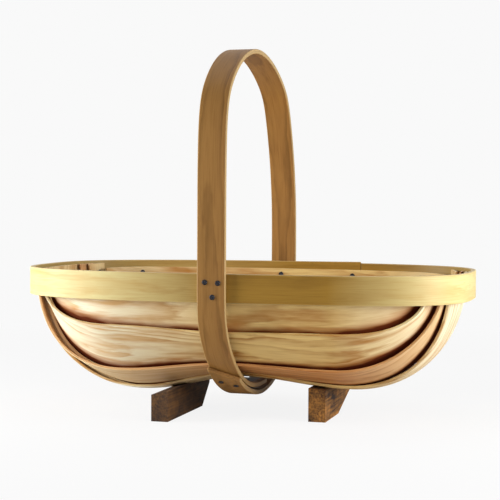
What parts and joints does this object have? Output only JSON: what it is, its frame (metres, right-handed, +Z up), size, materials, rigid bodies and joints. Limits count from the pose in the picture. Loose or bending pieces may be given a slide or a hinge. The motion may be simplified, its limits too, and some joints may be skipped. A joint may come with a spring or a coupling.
{
  "type": "trug garden basket",
  "caption": "Shallow wooden trug of lapped bent boards in a bent rim, with a hoop handle nailed round it and two batten feet.",
  "frame": {"origin": "on the ground under the middle of the basket, at the underside of the feet", "axes": "+X along the basket, +Y across it to the side where the rim is lapped, +Z up"},
  "size_m": [0.46, 0.2748, 0.374],
  "materials": {
    "rim_wood": "planed, unvarnished",
    "handle_wood": "planed, unvarnished",
    "board_wood": "planed, unvarnished",
    "lower_board_wood": "planed, unvarnished",
    "foot_wood": "rough sawn, stained",
    "nail_iron": "black"
  },
  "bodies": {
    "root": {"rim_hoop": "rim_wood", "handle_hoop": "handle_wood", "centre_board": "board_wood", "lower_board_near": "lower_board_wood", "lower_board_far": "lower_board_wood", "middle_board_near": "board_wood", "middle_board_far": "board_wood", "side_board_near": "board_wood", "side_board_far": "board_wood", "foot_left": "foot_wood", "foot_right": "foot_wood", "handle_nails_near": "nail_iron", "handle_nails_far": "nail_iron", "handle_lap_nails": "nail_iron", "rim_lap_nails": "nail_iron", "side_nails_near": "nail_iron", "side_nails_far": "nail_iron", "end_nails_left": "nail_iron", "end_nails_right": "nail_iron", "foot_nails_left": "nail_iron", "foot_nails_right": "nail_iron"}
  },
  "joints": []
}
